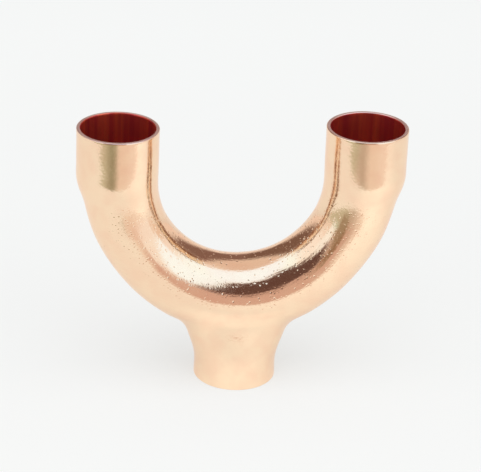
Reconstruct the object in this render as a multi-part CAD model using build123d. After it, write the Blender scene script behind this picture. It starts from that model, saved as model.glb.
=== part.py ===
from build123d import *
from math import cos, radians, sin, tan
import os

# Copper y-fitting: two upright tube sockets joined by a U bend, and one branch drawn out below it.
# Frame: origin at the centre of the branch mouth, X from leg to leg, Z up along the sockets.
# All sizes are in millimetres, and bend radii are on the tube's centre line.

# Tube that the fitting takes, and the fitting's own wall
tube_od = 19.05
socket_clearance = 0.10
wall = 1.0
rim_round = 0.3

# U bend
leg_spacing = 63.5
side_bend_radius = 34.0
side_bend_angle = 50.0

# Sockets expanded at the top of the legs, more to the outside: the tube below them is set in
socket_depth = 13.0
shoulder_length = 6.0
shoulder_inset = 0.4

# Branch mouth, and the neck that spreads along the bend and narrows across it
branch_length = 14.6
branch_mouth_depth = 4.0
branch_wall = 1.2
branch_spread = 5.5
branch_inset = 0.3
crotch_radius = 5.0

# Underside of the bend, drawn down on both sides of the branch
drawn_depth = 2.0
drawn_reach = 34.0

# Sections along each smooth change of size, and along each half of the bend
change_steps = 6
bend_steps = 6

# Radii of the tube and of its expanded ends
tube_radius = tube_od / 2
tube_bore_radius = tube_radius - wall
socket_bore_radius = (tube_od + socket_clearance) / 2
socket_radius = socket_bore_radius + wall
branch_radius = socket_bore_radius + branch_wall

# The U is a side arc under each leg and a crown arc between them, all tangent
side_angle = radians(side_bend_angle)
side_centre_x = side_bend_radius - leg_spacing / 2
crown_bend_radius = side_bend_radius - side_centre_x / cos(side_angle)
crown_height = branch_length + tube_radius
bend_start_height = crown_height + crown_bend_radius + side_centre_x * tan(side_angle)
overall_height = bend_start_height + socket_depth


def side_point(angle, side):
    """Point on one side arc, turned by this angle from the foot of its socket."""
    x = side_bend_radius * cos(angle) - side_centre_x
    z = bend_start_height - side_bend_radius * sin(angle)
    return Vector(side * x, 0, z)


def u_centre_line():
    """Centre line from the foot of the left socket round to the foot of the right one."""
    left = [side_point(angle, -1) for angle in (0, side_angle / 2, side_angle)]
    right = [side_point(angle, 1) for angle in (side_angle, side_angle / 2, 0)]
    crown = Vector(0, 0, crown_height)
    return Wire([
        Edge.make_three_point_arc(*left),
        Edge.make_three_point_arc(left[-1], crown, right[0]),
        Edge.make_three_point_arc(*right),
    ])


centre_line = u_centre_line()


def ease(share):
    """Smooth step from 0 to 1 that starts and ends level."""
    return share * share * (3 - 2 * share)


def u_bend(mouth_radius, body_radius):
    """Shoulder, bend and shoulder in one skin, with the underside drawn down around the branch."""
    half_length = centre_line.length / 2
    bend_length = half_length - shoulder_length
    stations = [shoulder_length * step / change_steps for step in range(change_steps)]
    stations += [shoulder_length + bend_length * step / bend_steps for step in range(bend_steps + 1)]
    stations += [2 * half_length - station for station in reversed(stations[:-1])]
    sections = []
    for station in stations:
        from_crown = abs(station - half_length)
        narrowing = ease(min((half_length - from_crown) / shoulder_length, 1))
        drop = drawn_depth / 2 * ease(max(1 - from_crown / drawn_reach, 0))
        inset = shoulder_inset * narrowing
        radius = mouth_radius + (body_radius - mouth_radius) * narrowing + drop
        share = station / centre_line.length
        square = Plane(origin=centre_line @ share, x_dir=(0, 1, 0), z_dir=centre_line % share)
        sections.append(square * Pos(0, inset - drop) * Circle(radius))
    return loft(sections)


def upright(radius, height):
    """Cylinder that stands on its own origin."""
    return Cylinder(radius, height, align=(Align.CENTER, Align.CENTER, Align.MIN))


def branch(mouth_radius, body_radius):
    """Straight round mouth, and the neck that runs up from it to the crown of the bend."""
    neck_height = crown_height - branch_mouth_depth
    neck_inset = mouth_radius - body_radius + branch_inset
    sections = []
    for step in range(change_steps + 1):
        share = step / change_steps
        along = mouth_radius + branch_spread * ease(share)
        across = mouth_radius - neck_inset * ease(share)
        sections.append(Pos(0, 0, branch_mouth_depth + neck_height * share) * Ellipse(along, across))
    return upright(mouth_radius, branch_mouth_depth) + loft(sections)


def full_form(mouth_radius, branch_mouth_radius, body_radius, crotch):
    """Solid of the whole fitting for one set of radii, used for the outside and for the bore."""
    bend = u_bend(mouth_radius, body_radius)
    stub = branch(branch_mouth_radius, body_radius)
    crossing = bend + stub
    crossing = crossing.fillet(crotch, new_edges(bend, stub, combined=crossing))
    socket = Pos(leg_spacing / 2, 0, bend_start_height) * upright(mouth_radius, socket_depth)
    return crossing + socket + mirror(socket, about=Plane.YZ)


outside = full_form(socket_radius, branch_radius, tube_radius, crotch_radius)
bore = full_form(socket_bore_radius, socket_bore_radius, tube_bore_radius, crotch_radius + wall)
y_fitting = outside - bore

# The three mouths are cut square, and their rims are lightly rounded inside and out
rims = y_fitting.faces().filter_by(GeomType.PLANE).edges()
y_fitting = y_fitting.fillet(rim_round, rims)

os.makedirs("parts", exist_ok=True)
export_step(y_fitting, "parts/y_fitting.step")
print("overall height", round(overall_height, 2))
print("crown bend radius", round(crown_bend_radius, 2))
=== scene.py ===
import math

import bpy
from mathutils import Matrix, Vector
from mathutils.bvhtree import BVHTree


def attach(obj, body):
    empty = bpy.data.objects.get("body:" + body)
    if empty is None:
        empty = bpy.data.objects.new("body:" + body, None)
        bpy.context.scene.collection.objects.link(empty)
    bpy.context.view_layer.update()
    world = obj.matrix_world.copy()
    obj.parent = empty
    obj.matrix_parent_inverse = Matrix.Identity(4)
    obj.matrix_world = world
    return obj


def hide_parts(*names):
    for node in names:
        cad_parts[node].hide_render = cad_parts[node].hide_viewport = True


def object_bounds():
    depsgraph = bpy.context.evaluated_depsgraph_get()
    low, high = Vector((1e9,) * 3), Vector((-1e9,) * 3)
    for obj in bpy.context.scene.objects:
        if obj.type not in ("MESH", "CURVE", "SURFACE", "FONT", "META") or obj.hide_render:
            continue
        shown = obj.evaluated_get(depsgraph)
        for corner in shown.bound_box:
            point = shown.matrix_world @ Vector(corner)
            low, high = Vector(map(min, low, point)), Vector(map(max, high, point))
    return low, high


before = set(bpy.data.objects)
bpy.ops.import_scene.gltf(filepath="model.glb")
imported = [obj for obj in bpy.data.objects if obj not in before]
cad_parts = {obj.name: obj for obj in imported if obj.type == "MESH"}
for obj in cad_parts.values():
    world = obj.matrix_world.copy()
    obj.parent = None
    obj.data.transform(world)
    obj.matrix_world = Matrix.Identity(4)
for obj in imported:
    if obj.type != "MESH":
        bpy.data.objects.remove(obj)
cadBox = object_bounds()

mm = 0.001  # metres in a millimetre


def toLinear(hexColour):
    # sRGB hex to the linear colour that shaders take
    channels = [int(hexColour[i:i + 2], 16) / 255 for i in (1, 3, 5)]
    linear = [c / 12.92 if c <= 0.04045 else ((c + 0.055) / 1.055) ** 2.4 for c in channels]
    return (*linear, 1.0)


def addNode(tree, kind, inputs=None, **settings):
    # Adds one node, sets its properties, then links or fills its inputs
    node = tree.nodes.new(kind)
    for name, value in settings.items():
        setattr(node, name, value)
    for socket, value in (inputs or {}).items():
        if isinstance(value, bpy.types.NodeSocket):
            tree.links.new(value, node.inputs[socket])
        else:
            node.inputs[socket].default_value = value
    return node


# The fitting: its sizes, and the counts of its control mesh

fitting = {
    "legSpacing": 63.5 * mm,
    "socketRadius": 10.575 * mm,
    "socketDepth": 13.0 * mm,
    "sideRadius": 34.0 * mm,  # bend under each socket, on the centre line
    "sideAngle": math.radians(50),
    "branchRadius": 10.775 * mm,
    "branchStraight": 4.0 * mm,
    "wall": 1.0 * mm,
    "branchWall": 1.2 * mm,
    "rimRound": 0.3 * mm,
    "ringPoints": 24,
    "socketSteps": 5,
    "sideSteps": 12,
    "crownSteps": 16,
    "branchSteps": 2,
    "neckCuts": 5,
    "holeSteps": 5,  # steps each side of the crown that open into the branch
    "fitRounds": 5,
    "fitInside": 0.03 * mm,
    "easeBelow": 10.0 * mm,  # stretch under and over the foot of each socket
    "easeAbove": 3.5 * mm,
    "easeRounds": 6,
    "smoothing": 2,
    "rippleSize": 8.0 * mm,  # the bend is slightly uneven, as the forming left it
    "rippleDepth": 0.06 * mm,
    "squareWithin": 0.1 * mm,
}
top = cadBox[1].z
legX = fitting["legSpacing"] / 2
bendStart = top - fitting["socketDepth"]
sideX = fitting["sideRadius"] - legX
crownAngle = math.pi - 2 * fitting["sideAngle"]
crownZ = bendStart - sideX * math.tan(fitting["sideAngle"])  # centre of the crown arc
crownRadius = fitting["sideRadius"] - sideX / math.cos(fitting["sideAngle"])


def selectOnly(mesh, parts, test):
    # Selects the vertices, edges or faces whose middle passes the test, then goes back to edit mode
    mode = {"vertices": "VERT", "edges": "EDGE", "polygons": "FACE"}[parts]
    bpy.ops.mesh.select_mode(type=mode)
    bpy.ops.mesh.select_all(action="DESELECT")
    bpy.ops.object.mode_set(mode="OBJECT")
    for part in getattr(mesh, parts):
        if parts == "vertices":
            middle = part.co
        elif parts == "edges":
            middle = (mesh.vertices[part.vertices[0]].co + mesh.vertices[part.vertices[1]].co) / 2
        else:
            middle = part.center
        part.select = test(part, middle)
    bpy.ops.object.mode_set(mode="EDIT")


def cageRadius(radius, points):
    # A smoothed ring settles inside its cage, so the cage is drawn this much larger
    return radius * 3 / (2 + math.cos(math.tau / points))


def sweepBend(f):
    # One ring drawn down the left socket, round the bend and up the right socket
    radius = cageRadius(f["socketRadius"], f["ringPoints"])
    bpy.ops.object.select_all(action="DESELECT")
    bpy.ops.mesh.primitive_circle_add(vertices=f["ringPoints"], radius=radius, location=(-legX, 0, top))
    piece = bpy.context.object
    piece.name = "drawnFitting"
    bpy.ops.object.transform_apply(location=True, rotation=True, scale=True)
    bpy.ops.object.mode_set(mode="EDIT")
    bpy.ops.mesh.select_all(action="SELECT")
    step = f["socketDepth"] / f["socketSteps"]
    for _ in range(f["socketSteps"]):
        bpy.ops.mesh.extrude_region_move(TRANSFORM_OT_translate={"value": (0, 0, -step)})
    for x, z, angle, steps in (
        (sideX, bendStart, f["sideAngle"], f["sideSteps"]),
        (0, crownZ, crownAngle, f["crownSteps"]),
        (-sideX, bendStart, f["sideAngle"], f["sideSteps"]),
    ):
        bpy.ops.mesh.spin(steps=steps, angle=angle, center=(x, 0, z), axis=(0, 1, 0))
    for _ in range(f["socketSteps"]):
        bpy.ops.mesh.extrude_region_move(TRANSFORM_OT_translate={"value": (0, 0, step)})
    bpy.ops.mesh.select_all(action="SELECT")
    bpy.ops.mesh.remove_doubles(threshold=0.01 * mm)
    return piece


def openBranch(piece, f):
    # The underside of the crown is opened, and a ring raised from the floor is bridged to the hole
    halfHole = f["holeSteps"] * crownAngle / f["crownSteps"]

    def underCrown(_, middle):
        below = crownZ - middle.z
        outer = math.hypot(middle.x, below) > crownRadius
        return outer and abs(math.atan2(middle.x, below)) < halfHole

    selectOnly(piece.data, "polygons", underCrown)
    bpy.ops.mesh.delete(type="FACE")
    bpy.ops.mesh.select_mode(type="VERT")
    points = f["ringPoints"] + 4 * f["holeSteps"]
    bpy.ops.mesh.primitive_circle_add(
        vertices=points, radius=cageRadius(f["branchRadius"], points), location=(0, 0, 0))
    step = f["branchStraight"] / f["branchSteps"]
    for _ in range(f["branchSteps"]):
        bpy.ops.mesh.extrude_region_move(TRANSFORM_OT_translate={"value": (0, 0, step)})
    bpy.ops.mesh.select_mode(type="EDGE")
    bpy.ops.mesh.select_all(action="DESELECT")
    bpy.ops.mesh.select_non_manifold(extend=False)
    bpy.ops.object.mode_set(mode="OBJECT")
    openEdges = {edge.index for edge in piece.data.edges if edge.select}
    bpy.ops.object.mode_set(mode="EDIT")
    rimZone = f["branchStraight"] / 2

    def openNeck(edge, middle):
        return edge.index in openEdges and rimZone < middle.z < top - rimZone

    selectOnly(piece.data, "edges", openNeck)
    bpy.ops.mesh.bridge_edge_loops(number_cuts=f["neckCuts"], smoothness=0.6)
    bpy.ops.mesh.select_all(action="SELECT")
    bpy.ops.mesh.normals_make_consistent(inside=False)

    def onNeck(_, middle):
        below = crownZ - middle.z
        outside = math.hypot(middle.x, below) > crownRadius + rimZone
        above = f["branchStraight"] + rimZone < middle.z
        return above and outside and abs(math.atan2(middle.x, below)) < halfHole * 1.4

    selectOnly(piece.data, "vertices", onNeck)
    bpy.ops.mesh.vertices_smooth(factor=0.5, repeat=6)
    bpy.ops.object.mode_set(mode="OBJECT")


def fitToSolid(piece, f):
    # Moves each control point until the smoothed surface lies on the outside of the CAD solid
    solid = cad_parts["y_fitting"].data
    tree = BVHTree.FromPolygons([v.co for v in solid.vertices], [p.vertices for p in solid.polygons])
    piece.modifiers.new("smooth", "SUBSURF")
    piece.modifiers["smooth"].levels = f["smoothing"]
    piece.modifiers["smooth"].render_levels = f["smoothing"]
    rimHeights = (0, top)
    free = [v for v in piece.data.vertices if all(abs(v.co.z - z) > 0.1 * mm for z in rimHeights)]
    for _ in range(f["fitRounds"]):
        bpy.context.view_layer.update()
        smooth = piece.evaluated_get(bpy.context.evaluated_depsgraph_get()).data
        reached = [smooth.vertices[v.index].co.copy() for v in free]
        nearest = [tree.find_nearest(point)[:2] for point in reached]
        gaps = [foot - normal * f["fitInside"] - point for (foot, normal), point in zip(nearest, reached)]
        for vertex, gap in zip(free, gaps):
            vertex.co += gap
        print("fitted to", round(max(g.length for g in gaps) / mm, 3), "mm")


def easeShoulders(piece, f):
    # On the inside of the U the shoulder is hardly a step, so its rows are evened out along the tube there
    points = piece.data.vertices
    neighbours = {}
    for edge in piece.data.edges:
        first, second = edge.vertices
        run = points[second].co - points[first].co
        if abs(run.z) > 0.7 * run.length:
            neighbours.setdefault(first, []).append(second)
            neighbours.setdefault(second, []).append(first)
    low = bendStart - f["easeBelow"]
    high = bendStart + f["easeAbove"]
    zone = [v for v in points if low < v.co.z < high and len(neighbours.get(v.index, [])) == 2]
    for _ in range(f["easeRounds"]):
        evened = {}
        for vertex in zone:
            before, after = (points[index].co for index in neighbours[vertex.index])
            inwards = (legX - abs(vertex.co.x)) / f["socketRadius"]
            share = min(max(inwards, 0), 1) / 2
            evened[vertex.index] = vertex.co.lerp((before + after) / 2, share)
        for index, place in evened.items():
            points[index].co = place
    print("shoulders eased,", len(zone), "points")


def finishWalls(piece, f):
    # The smoothed skin gets its wall, inwards, and the three mouths their light rounding
    bpy.ops.object.modifier_apply(modifier="smooth")
    clouds = bpy.data.textures.new("unevenness", "CLOUDS")
    clouds.noise_scale = f["rippleSize"]
    ripple = piece.modifiers.new("ripple", "DISPLACE")
    ripple.texture = clouds
    ripple.strength = f["rippleDepth"]
    ripple.mid_level = 1.0
    bpy.ops.object.modifier_apply(modifier="ripple")
    walls = piece.vertex_groups.new(name="wall")
    neckTop = f["branchStraight"] * 2
    for vertex in piece.data.vertices:
        share = min(max((neckTop - vertex.co.z) / f["branchStraight"], 0), 1)
        thickness = f["wall"] + (f["branchWall"] - f["wall"]) * share
        walls.add([vertex.index], thickness / f["branchWall"], "REPLACE")
    solidify = piece.modifiers.new("wall", "SOLIDIFY")
    solidify.thickness = f["branchWall"]
    solidify.offset = -1
    solidify.vertex_group = "wall"
    solidify.use_even_offset = True
    solidify.use_quality_normals = True
    solidify.material_offset = 1
    solidify.material_offset_rim = 2
    bpy.ops.object.modifier_apply(modifier="wall")
    for vertex in piece.data.vertices:
        for height in (0, top):
            if abs(vertex.co.z - height) < f["squareWithin"]:
                vertex.co.z = height  # the mouths are cut square
    bevel = piece.modifiers.new("rims", "BEVEL")
    bevel.width = f["rimRound"]
    bevel.segments = 3
    bevel.limit_method = "ANGLE"
    bevel.angle_limit = math.radians(50)
    bpy.ops.object.modifier_apply(modifier="rims")
    bpy.ops.object.shade_smooth()


def buildFitting(materials):
    piece = sweepBend(fitting)
    openBranch(piece, fitting)
    fitToSolid(piece, fitting)
    easeShoulders(piece, fitting)
    for material in materials:
        piece.data.materials.append(material)
    finishWalls(piece, fitting)
    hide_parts("y_fitting")
    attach(piece, "root")
    print("fitting modelled,", len(piece.data.polygons), "faces")
    return piece


# Copper of the outside: drawn tube, formed in a die and left bright. It mirrors its surroundings, with
# draw lines and shallow wrinkles along the bend, orange peel, and small pits where the wall was stretched

brightCopper = {
    "colour": "#FADCBC",
    "blushColour": "#F8D5B6",
    "blushSize": 5.0,  # mm across one cloud of warmer copper
    "edgeTint": "#FFF7F3",
    "smoothest": 0.11,  # roughness where the die burnished it
    "roughest": 0.17,
    "lineWidth": 0.35,  # mm between the drawing lines
    "wrinkleWidth": 1.1,  # mm across one wrinkle
    "grainSize": 0.6,  # mm across one grain of the orange peel
    "pitSpacing": 1.4,  # mm between pits where they lie closest
    "speckSpacing": 0.8,  # the same for the smaller ones, drawn large enough to show
}


def bendCoordinates(tree):
    # Distance from the bend's centre, across, and along: a pattern on these follows the tube round the U
    place = addNode(tree, "ShaderNodeTexCoord").outputs["Object"]
    xyz = addNode(tree, "ShaderNodeSeparateXYZ", {"Vector": place})
    drop = addNode(tree, "ShaderNodeMath", {0: xyz.outputs["Z"], 1: crownZ}, operation="SUBTRACT")
    below = addNode(tree, "ShaderNodeMath", {0: drop.outputs[0], 1: 0.0}, operation="MINIMUM")
    spoke = addNode(tree, "ShaderNodeCombineXYZ", {"X": xyz.outputs["X"], "Z": below.outputs[0]})
    reach = addNode(tree, "ShaderNodeVectorMath", {0: spoke.outputs[0]}, operation="LENGTH")
    along = addNode(tree, "ShaderNodeMath", {0: xyz.outputs["X"], 1: xyz.outputs["Z"]}, operation="ADD")
    slow = addNode(tree, "ShaderNodeMath", {0: along.outputs[0], 1: 0.02}, operation="MULTIPLY")
    lines = addNode(tree, "ShaderNodeCombineXYZ", {
        "X": reach.outputs["Value"], "Y": xyz.outputs["Y"], "Z": slow.outputs[0]})
    return place, xyz, lines.outputs[0]


def stretchedZone(tree, xyz):
    # 1 on the bend, where the wall was stretched, and 0 on the sockets and the branch
    fromBranch = addNode(tree, "ShaderNodeMapRange", {
        "Value": xyz.outputs["Z"], "From Min": 15 * mm, "From Max": 22 * mm})
    fromSockets = addNode(tree, "ShaderNodeMapRange", {
        "Value": xyz.outputs["Z"], "From Min": bendStart, "From Max": bendStart - 12 * mm})
    zone = addNode(tree, "ShaderNodeMath", {
        0: fromBranch.outputs[0], 1: fromSockets.outputs[0]}, operation="MULTIPLY")
    return zone.outputs[0]


def scatterPits(tree, place, spacing, reach, share, zone):
    # Round bowls in some of the cells of a loose packing, only where the zone is
    cells = addNode(tree, "ShaderNodeTexVoronoi", {"Vector": place, "Scale": 1 / (spacing * mm)})
    bowl = addNode(tree, "ShaderNodeMapRange", {
        "Value": cells.outputs["Distance"], "From Min": reach, "From Max": 0.0}, interpolation_type="SMOOTHSTEP")
    draw = addNode(tree, "ShaderNodeSeparateColor", {"Color": cells.outputs["Color"]})
    taken = addNode(tree, "ShaderNodeMath", {0: draw.outputs[0], 1: share}, operation="LESS_THAN")
    pit = addNode(tree, "ShaderNodeMath", {0: bowl.outputs[0], 1: taken.outputs[0]}, operation="MULTIPLY")
    placed = addNode(tree, "ShaderNodeMath", {0: pit.outputs[0], 1: zone}, operation="MULTIPLY")
    return placed.outputs[0]


def makeBrightCopper(c):
    material = bpy.data.materials.new("brightDrawnCopper")
    material.use_nodes = True
    tree = material.node_tree
    tree.nodes.clear()
    place, xyz, lines = bendCoordinates(tree)
    zone = stretchedZone(tree, xyz)
    blush = addNode(tree, "ShaderNodeTexNoise", {
        "Vector": place, "Scale": 1 / (c["blushSize"] * mm), "Detail": 3.0})
    share = addNode(tree, "ShaderNodeMapRange", {
        "Value": blush.outputs["Fac"], "From Min": 0.4, "From Max": 0.65})
    colour = addNode(tree, "ShaderNodeMix", {
        "Factor": share.outputs[0], "A": toLinear(c["colour"]), "B": toLinear(c["blushColour"])},
        data_type="RGBA")

    drawn = addNode(tree, "ShaderNodeTexNoise", {
        "Vector": lines, "Scale": 1 / (c["lineWidth"] * mm), "Detail": 3.0})
    lineBump = addNode(tree, "ShaderNodeBump", {
        "Strength": 0.1, "Distance": 0.02 * mm, "Height": drawn.outputs["Fac"]})
    shorter = addNode(tree, "ShaderNodeVectorMath", {0: lines, 1: (1, 1, 3)}, operation="MULTIPLY")
    wrinkles = addNode(tree, "ShaderNodeTexNoise", {
        "Vector": shorter.outputs[0], "Scale": 1 / (c["wrinkleWidth"] * mm), "Detail": 2.0})
    folds = addNode(tree, "ShaderNodeMath", {0: wrinkles.outputs["Fac"], 1: zone}, operation="MULTIPLY")
    wrinkleBump = addNode(tree, "ShaderNodeBump", {
        "Strength": 0.45, "Distance": 0.1 * mm, "Height": folds.outputs[0],
        "Normal": lineBump.outputs["Normal"]})
    grain = addNode(tree, "ShaderNodeTexNoise", {
        "Vector": place, "Scale": 1 / (c["grainSize"] * mm), "Detail": 2.0})
    grainBump = addNode(tree, "ShaderNodeBump", {
        "Strength": 0.6, "Distance": 0.03 * mm, "Height": grain.outputs["Fac"],
        "Normal": wrinkleBump.outputs["Normal"]})

    pits = scatterPits(tree, place, c["pitSpacing"], 0.24, 0.75, zone)
    aside = addNode(tree, "ShaderNodeMath", {0: xyz.outputs["X"]}, operation="ABSOLUTE")
    flank = addNode(tree, "ShaderNodeMapRange", {
        "Value": aside.outputs[0], "From Min": 4 * mm, "From Max": 14 * mm, "To Min": 0.4, "To Max": 1.0})
    flankZone = addNode(tree, "ShaderNodeMath", {0: flank.outputs[0], 1: zone}, operation="MULTIPLY")
    specks = scatterPits(tree, place, c["speckSpacing"], 0.34, 0.6, flankZone.outputs[0])
    pitBump = addNode(tree, "ShaderNodeBump", {
        "Strength": 0.8, "Distance": 0.08 * mm, "Height": pits, "Normal": grainBump.outputs["Normal"]},
        invert=True)
    speckBump = addNode(tree, "ShaderNodeBump", {
        "Strength": 0.8, "Distance": 0.06 * mm, "Height": specks, "Normal": pitBump.outputs["Normal"]},
        invert=True)
    sheen = addNode(tree, "ShaderNodeMapRange", {
        "Value": grain.outputs["Fac"], "From Min": 0.35, "From Max": 0.65,
        "To Min": c["smoothest"], "To Max": c["roughest"]})
    shader = addNode(tree, "ShaderNodeBsdfPrincipled", {
        "Base Color": colour.outputs["Result"], "Metallic": 1.0, "Roughness": sheen.outputs[0],
        "Specular Tint": toLinear(c["edgeTint"]), "Normal": speckBump.outputs["Normal"]})
    addNode(tree, "ShaderNodeOutputMaterial", {"Surface": shader.outputs[0]})
    return material


# Copper of the bore: painted redder and darker than the outside copper, a painted shade that stands in for the
# light bounced round inside the tube; duller, with draw marks down the tube

boreCopperPaintedShade = {
    # painted shade: the bore's red, darker than the outside copper, stands in for light bounced round inside the
    # tube
    "colour": "#EC6C4C",
    "streakColour": "#CC4648",
    "streakWidth": 2.4,  # mm across one draw mark
    "roughness": 0.30,
    "metallic": 0.82,  # not fully metal, so it scatters a little light
}


def makeBoreCopperPaintedShade(c):
    material = bpy.data.materials.new("paintedShadeBoreCopper")
    material.use_nodes = True
    tree = material.node_tree
    tree.nodes.clear()
    place = addNode(tree, "ShaderNodeTexCoord").outputs["Object"]
    upright = addNode(tree, "ShaderNodeVectorMath", {0: place, 1: (1, 1, 0.04)}, operation="MULTIPLY")
    marks = addNode(tree, "ShaderNodeTexNoise", {
        "Vector": upright.outputs[0], "Scale": 1 / (c["streakWidth"] * mm), "Detail": 3.0})
    share = addNode(tree, "ShaderNodeMapRange", {
        "Value": marks.outputs["Fac"], "From Min": 0.4, "From Max": 0.68})
    # the bore's painted shade: redder and darker than the outside copper, varied along the draw marks
    colour = addNode(tree, "ShaderNodeMix", {
        "Factor": share.outputs[0], "A": toLinear(c["streakColour"]), "B": toLinear(c["colour"])},
        data_type="RGBA")
    bump = addNode(tree, "ShaderNodeBump", {
        "Strength": 0.3, "Distance": 0.05 * mm, "Height": marks.outputs["Fac"]})
    shader = addNode(tree, "ShaderNodeBsdfPrincipled", {
        "Base Color": colour.outputs["Result"], "Metallic": c["metallic"], "Roughness": c["roughness"],
        "Normal": bump.outputs["Normal"]})
    addNode(tree, "ShaderNodeOutputMaterial", {"Surface": shader.outputs[0]})
    return material


# Copper of the rims: faced off square, so it is paler and duller, with turning marks round each mouth

rimCopper = {
    "colour": "#FAE2D8",
    "markColour": "#DCB2A8",
    "markWidth": 0.3,  # mm between turning marks, coarser than the real ones so that they show
    "roughness": 0.42,
    "metallic": 0.88,  # the cut face is fine and broken, and scatters a little light
}


def makeRimCopper(c):
    material = bpy.data.materials.new("facedRimCopper")
    material.use_nodes = True
    tree = material.node_tree
    tree.nodes.clear()
    place = addNode(tree, "ShaderNodeTexCoord").outputs["Object"]
    xyz = addNode(tree, "ShaderNodeSeparateXYZ", {"Vector": place})
    aside = addNode(tree, "ShaderNodeMath", {0: xyz.outputs["X"]}, operation="ABSOLUTE")
    fromLeg = addNode(tree, "ShaderNodeMath", {0: aside.outputs[0], 1: legX}, operation="SUBTRACT")
    onSockets = addNode(tree, "ShaderNodeMath", {0: xyz.outputs["Z"], 1: top / 2}, operation="GREATER_THAN")
    across = addNode(tree, "ShaderNodeMapRange", {
        "Value": onSockets.outputs[0], "To Min": xyz.outputs["X"], "To Max": fromLeg.outputs[0]})
    spoke = addNode(tree, "ShaderNodeCombineXYZ", {"X": across.outputs[0], "Y": xyz.outputs["Y"]})
    reach = addNode(tree, "ShaderNodeVectorMath", {0: spoke.outputs[0]}, operation="LENGTH")
    slow = addNode(tree, "ShaderNodeMath", {0: xyz.outputs["Y"], 1: 0.05}, operation="MULTIPLY")
    rings = addNode(tree, "ShaderNodeCombineXYZ", {"X": reach.outputs["Value"], "Y": slow.outputs[0]})
    marks = addNode(tree, "ShaderNodeTexNoise", {
        "Vector": rings.outputs[0], "Scale": 1 / (c["markWidth"] * mm), "Detail": 2.0})
    share = addNode(tree, "ShaderNodeMapRange", {
        "Value": marks.outputs["Fac"], "From Min": 0.35, "From Max": 0.65})
    colour = addNode(tree, "ShaderNodeMix", {
        "Factor": share.outputs[0], "A": toLinear(c["colour"]), "B": toLinear(c["markColour"])},
        data_type="RGBA")
    bump = addNode(tree, "ShaderNodeBump", {
        "Strength": 0.3, "Distance": 0.03 * mm, "Height": marks.outputs["Fac"]})
    shader = addNode(tree, "ShaderNodeBsdfPrincipled", {
        "Base Color": colour.outputs["Result"], "Metallic": c["metallic"], "Roughness": c["roughness"],
        "Normal": bump.outputs["Normal"]})
    addNode(tree, "ShaderNodeOutputMaterial", {"Surface": shader.outputs[0]})
    return material


# Studio: white paper, a white tent with a dark opening in front, one soft lamp above

studio = {
    "paper": "#F9F9F9",
    "backdrop": "#F6F8F7",
    "paperFront": -104 * mm,  # the paper ends this far in front, as the sockets' reflections show
    "paperGlow": 0.6,  # share of the paper's own pale tone, which keeps the shadow faint
    "glowBehind": 1.08,  # the paper is a little brighter far behind the fitting
    "lampSpot": (90 * mm, -90 * mm, 0),  # the copper sees the paper brightest here
    "lampSpotGlow": 1.42,
    "paperMirrored": 1.05,
    "footSpot": (0, -17 * mm, 0),  # the branch throws light back on the paper just in front of it
    "footGlow": 1.25,
    "shadeInFront": (0.63, 0.71, 0.59),  # past the paper's end, at the left
    "lampSize": 700 * mm,
    "lampPlace": (0, -260 * mm, 620 * mm),
    "lampWatts": 2.4,
    "fill": 0.62,
}


def makePaper(s):
    material = bpy.data.materials.new("mattWhitePaper")
    material.use_nodes = True
    tree = material.node_tree
    tree.nodes.clear()
    place = addNode(tree, "ShaderNodeTexCoord").outputs["Object"]
    xyz = addNode(tree, "ShaderNodeSeparateXYZ", {"Vector": place})
    light = addNode(tree, "ShaderNodeLightPath")
    beyond = addNode(tree, "ShaderNodeMapRange", {
        "Value": xyz.outputs["Y"], "From Min": s["paperFront"] + 6 * mm, "From Max": s["paperFront"] - 6 * mm})
    gone = addNode(tree, "ShaderNodeMath", {
        0: beyond.outputs[0], 1: light.outputs["Is Glossy Ray"]}, operation="MULTIPLY")

    behind = addNode(tree, "ShaderNodeMapRange", {
        "Value": xyz.outputs["Y"], "From Min": 50 * mm, "From Max": 250 * mm,
        "To Min": 1.0, "To Max": s["glowBehind"]})
    fromSpot = addNode(tree, "ShaderNodeVectorMath", {0: place, 1: s["lampSpot"]}, operation="DISTANCE")
    spot = addNode(tree, "ShaderNodeMapRange", {
        "Value": fromSpot.outputs["Value"], "From Min": 20 * mm, "From Max": 110 * mm,
        "To Min": s["lampSpotGlow"], "To Max": s["paperMirrored"]})
    fromFoot = addNode(tree, "ShaderNodeVectorMath", {0: place, 1: s["footSpot"]}, operation="DISTANCE")
    foot = addNode(tree, "ShaderNodeMapRange", {
        "Value": fromFoot.outputs["Value"], "From Min": 5 * mm, "From Max": 24 * mm,
        "To Min": s["footGlow"], "To Max": 1.0})
    mirrored = addNode(tree, "ShaderNodeMath", {0: spot.outputs[0], 1: foot.outputs[0]}, operation="MULTIPLY")
    strength = addNode(tree, "ShaderNodeMapRange", {
        "Value": light.outputs["Is Glossy Ray"], "To Min": behind.outputs[0], "To Max": mirrored.outputs[0]})
    lit = addNode(tree, "ShaderNodeBsdfDiffuse", {"Color": toLinear(s["paper"])})
    glow = addNode(tree, "ShaderNodeEmission", {
        "Color": toLinear(s["backdrop"]), "Strength": strength.outputs[0]})
    paper = addNode(tree, "ShaderNodeMixShader", {0: s["paperGlow"], 1: lit.outputs[0], 2: glow.outputs[0]})

    leftwards = addNode(tree, "ShaderNodeMapRange", {
        "Value": xyz.outputs["X"], "From Min": -30 * mm, "From Max": -65 * mm})
    shade = addNode(tree, "ShaderNodeMix", {
        "Factor": leftwards.outputs[0], "A": (1, 1, 1, 1), "B": (*s["shadeInFront"], 1)}, data_type="RGBA")
    clear = addNode(tree, "ShaderNodeBsdfTransparent", {"Color": shade.outputs["Result"]})
    both = addNode(tree, "ShaderNodeMixShader", {0: gone.outputs[0], 1: paper.outputs[0], 2: clear.outputs[0]})
    addNode(tree, "ShaderNodeOutputMaterial", {"Surface": both.outputs[0]})
    return material


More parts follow.
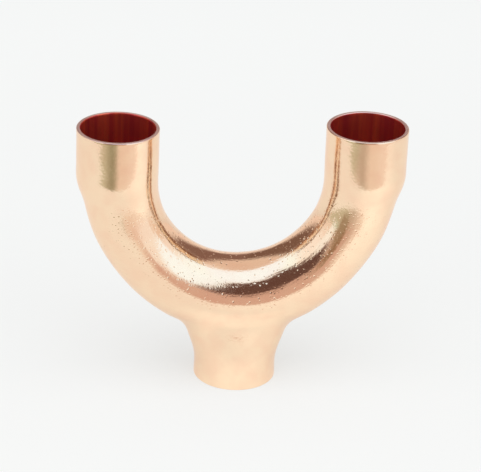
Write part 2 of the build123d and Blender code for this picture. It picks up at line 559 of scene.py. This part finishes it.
def band(tree, value, low, high, soft):
    # 1 between two angles in degrees, falling softly to 0 at both ends
    rise = addNode(tree, "ShaderNodeMapRange", {
        "Value": value, "From Min": math.radians(low - soft), "From Max": math.radians(low + soft)},
        interpolation_type="SMOOTHSTEP")
    fall = addNode(tree, "ShaderNodeMapRange", {
        "Value": value, "From Min": math.radians(high + soft), "From Max": math.radians(high - soft)},
        interpolation_type="SMOOTHSTEP")
    both = addNode(tree, "ShaderNodeMath", {0: rise.outputs[0], 1: fall.outputs[0]}, operation="MULTIPLY")
    return both.outputs[0]


tentZones = [
    # what, azimuth from, to, softness, elevation from, to, softness, linear colour
    ("side wall, left", -98, -42, 6, 12, 70, 8, (1.05, 1.12, 1.18)),
    ("side wall, left, near end", -62, -43, 3, -4, 18, 3, (1.04, 1.18, 1.28)),
    ("side wall, left, in the lamps' light", -98, -40, 6, 38, 70, 6, (1.04, 1.30, 1.48)),
    ("side wall, right", 19, 92, 5, -14, 70, 4, (0.99, 0.99, 1.02)),
    ("side wall, far right, low", 68, 96, 5, -14, 9, 4, (0.87, 0.71, 0.63)),
    ("side wall, right, in the lamps' light", 22, 68, 5, 4, 70, 5, (1.04, 1.32, 1.62)),
    ("side wall, far right, in the lamps' light", 50, 88, 6, 28, 70, 6, (1.04, 1.30, 1.55)),
    ("softbox overhead", -100, 88, 10, 52, 120, 4, (1.04, 1.32, 1.66)),
    ("dim ceiling behind, left", -200, -104, 8, 50, 120, 14, (0.80, 0.66, 0.60)),
    ("dim ceiling behind, right", 100, 200, 8, 50, 120, 14, (0.80, 0.66, 0.60)),
    ("dark room behind, left", -200, -106, 6, 11, 50, 6, (0.20, 0.12, 0.095)),
    ("dark room behind, right", 108, 200, 6, 13, 50, 6, (0.24, 0.145, 0.125)),
    ("dull ground in front", -14, 26, 12, -60, -17, 2, (0.88, 0.77, 0.71)),
    ("shaded ground in front", -31, -6, 13, -60, -15, 2, (0.57, 0.50, 0.43)),
    ("dark opening in front", -42, 20, 3, 4, 50, 3, (0.13, 0.07, 0.06)),
    ("warm band in front", -44, 14, 4, -16, 1, 3, (0.60, 0.43, 0.36)),
    ("dark line in the warm band", -27, 1, 6, -11, 3, 3, (0.48, 0.28, 0.20)),
    ("warm patch above the band", -13, 21, 4, -16, 14, 4, (0.70, 0.50, 0.45)),
]


def makeWorld(s):
    # Metal sees the tent and its opening, the camera sees the plain backdrop, and the rest is even fill
    world = bpy.data.worlds.new("studio")
    bpy.context.scene.world = world
    world.use_nodes = True
    tree = world.node_tree
    tree.nodes.clear()
    direction = addNode(tree, "ShaderNodeTexCoord").outputs["Generated"]
    xyz = addNode(tree, "ShaderNodeSeparateXYZ", {"Vector": direction})
    towards = addNode(tree, "ShaderNodeMath", {0: xyz.outputs["Y"], 1: -1.0}, operation="MULTIPLY")
    azimuth = addNode(tree, "ShaderNodeMath", {0: xyz.outputs["X"], 1: towards.outputs[0]}, operation="ARCTAN2")
    elevation = addNode(tree, "ShaderNodeMath", {0: xyz.outputs["Z"]}, operation="ARCSINE")
    tent = (0.92, 0.82, 0.78, 1)
    for _, azFrom, azTo, azSoft, elFrom, elTo, elSoft, colour in tentZones:
        across = band(tree, azimuth.outputs[0], azFrom, azTo, azSoft)
        upward = band(tree, elevation.outputs[0], elFrom, elTo, elSoft)
        zone = addNode(tree, "ShaderNodeMath", {0: across, 1: upward}, operation="MULTIPLY")
        mix = addNode(tree, "ShaderNodeMix", {
            "Factor": zone.outputs[0], "A": tent, "B": (*colour, 1)}, data_type="RGBA")
        tent = mix.outputs["Result"]
    light = addNode(tree, "ShaderNodeLightPath")
    even = addNode(tree, "ShaderNodeBackground", {"Color": (1, 1, 1, 1), "Strength": s["fill"]})
    plain = addNode(tree, "ShaderNodeBackground", {"Color": toLinear(s["backdrop"]), "Strength": 1.0})
    seen = addNode(tree, "ShaderNodeBackground", {"Color": tent, "Strength": 1.0})
    direct = addNode(tree, "ShaderNodeMath", {
        0: light.outputs["Is Camera Ray"], 1: light.outputs["Is Transmission Ray"]}, operation="MAXIMUM")
    first = addNode(tree, "ShaderNodeMixShader", {
        0: light.outputs["Is Glossy Ray"], 1: even.outputs[0], 2: seen.outputs[0]})
    both = addNode(tree, "ShaderNodeMixShader", {0: direct.outputs[0], 1: first.outputs[0], 2: plain.outputs[0]})
    addNode(tree, "ShaderNodeOutputWorld", {"Surface": both.outputs[0]})


def buildStudio(s):
    bpy.ops.mesh.primitive_plane_add(size=6, location=(0, 0, 0))
    floor = bpy.context.object
    floor.name = "floor"
    floor.data.materials.append(makePaper(s))
    makeWorld(s)
    tilt = math.atan2(-s["lampPlace"][1], s["lampPlace"][2])
    bpy.ops.object.light_add(type="AREA", location=s["lampPlace"], rotation=(tilt, 0, 0))
    lamp = bpy.context.object
    lamp.name = "softLampAbove"
    lamp.data.size = s["lampSize"]
    lamp.data.energy = s["lampWatts"]
    lamp.visible_glossy = False
    print("studio lit")


# Camera: the photograph's own view

shot = {
    "azimuth": -6.353,
    "elevation": 25.731,
    "roll": 2.370,
    "distance": 594.76 * mm,
    "target": (0.318 * mm, 0, 39.725 * mm),
    "focalPixels": 2300,
    "imageWidth": 481,
    "sensorWidth": 36,
}


def placeCamera(s):
    azimuth, elevation, roll = (math.radians(s[name]) for name in ("azimuth", "elevation", "roll"))
    back = Vector((
        math.sin(azimuth) * math.cos(elevation), -math.cos(azimuth) * math.cos(elevation), math.sin(elevation)))
    right = (-back).cross(Vector((0, 0, 1))).normalized()
    up = back.cross(right)
    turn = Matrix((right, up, back)).transposed() @ Matrix.Rotation(roll, 3, "Z")
    bpy.ops.object.camera_add(location=Vector(s["target"]) + back * s["distance"], rotation=turn.to_euler())
    camera = bpy.context.object
    camera.data.sensor_fit = "HORIZONTAL"
    camera.data.sensor_width = s["sensorWidth"]
    camera.data.lens = s["focalPixels"] / s["imageWidth"] * s["sensorWidth"]
    camera.data.clip_start = 0.01
    bpy.context.scene.camera = camera


placeCamera(shot)
buildStudio(studio)
buildFitting([makeBrightCopper(brightCopper), makeBoreCopperPaintedShade(boreCopperPaintedShade), makeRimCopper(rimCopper)])
bpy.context.scene.view_settings.view_transform = "Standard"
